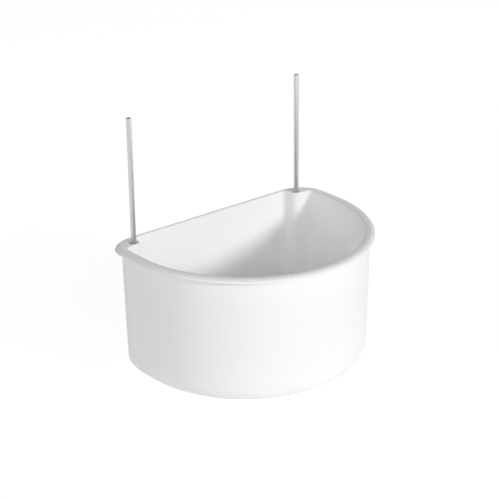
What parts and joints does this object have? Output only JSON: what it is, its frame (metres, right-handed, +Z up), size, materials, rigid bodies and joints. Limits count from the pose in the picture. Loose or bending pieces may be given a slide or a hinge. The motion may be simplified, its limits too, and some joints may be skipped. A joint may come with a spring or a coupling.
{
  "type": "cage bird feeder",
  "caption": "Half-moon moulded cage cup with a flat back, rounded front and flared lip, and straight steel wires that push into its rear corners to hang it on cage bars.",
  "frame": {"origin": "middle of the bounding box, on the plane of the base that the cup stands on", "axes": "+Z up along the wires, +X along the flat back, +Y out of the flat back towards the cage bars; the round front faces -Y"},
  "size_m": [0.1, 0.0724, 0.1005],
  "materials": {
    "cup_plastic": "white injection-moulded plastic, satin",
    "wire_steel": "bright drawn steel wire, cut ends"
  },
  "bodies": {
    "cup": {"cup": "cup_plastic"},
    "wire_left": {"wire_left": "wire_steel"},
    "wire_right": {"wire_right": "wire_steel"}
  },
  "joints": [
    {"name": "wire_left_slide", "type": "slide", "parent": "cup", "child": "wire_left", "axis": [0, 0, 1], "range_m": [0, 0.038]},
    {"name": "wire_right_slide", "type": "slide", "parent": "cup", "child": "wire_right", "axis": [0, 0, 1], "range_m": [0, 0.038]}
  ]
}
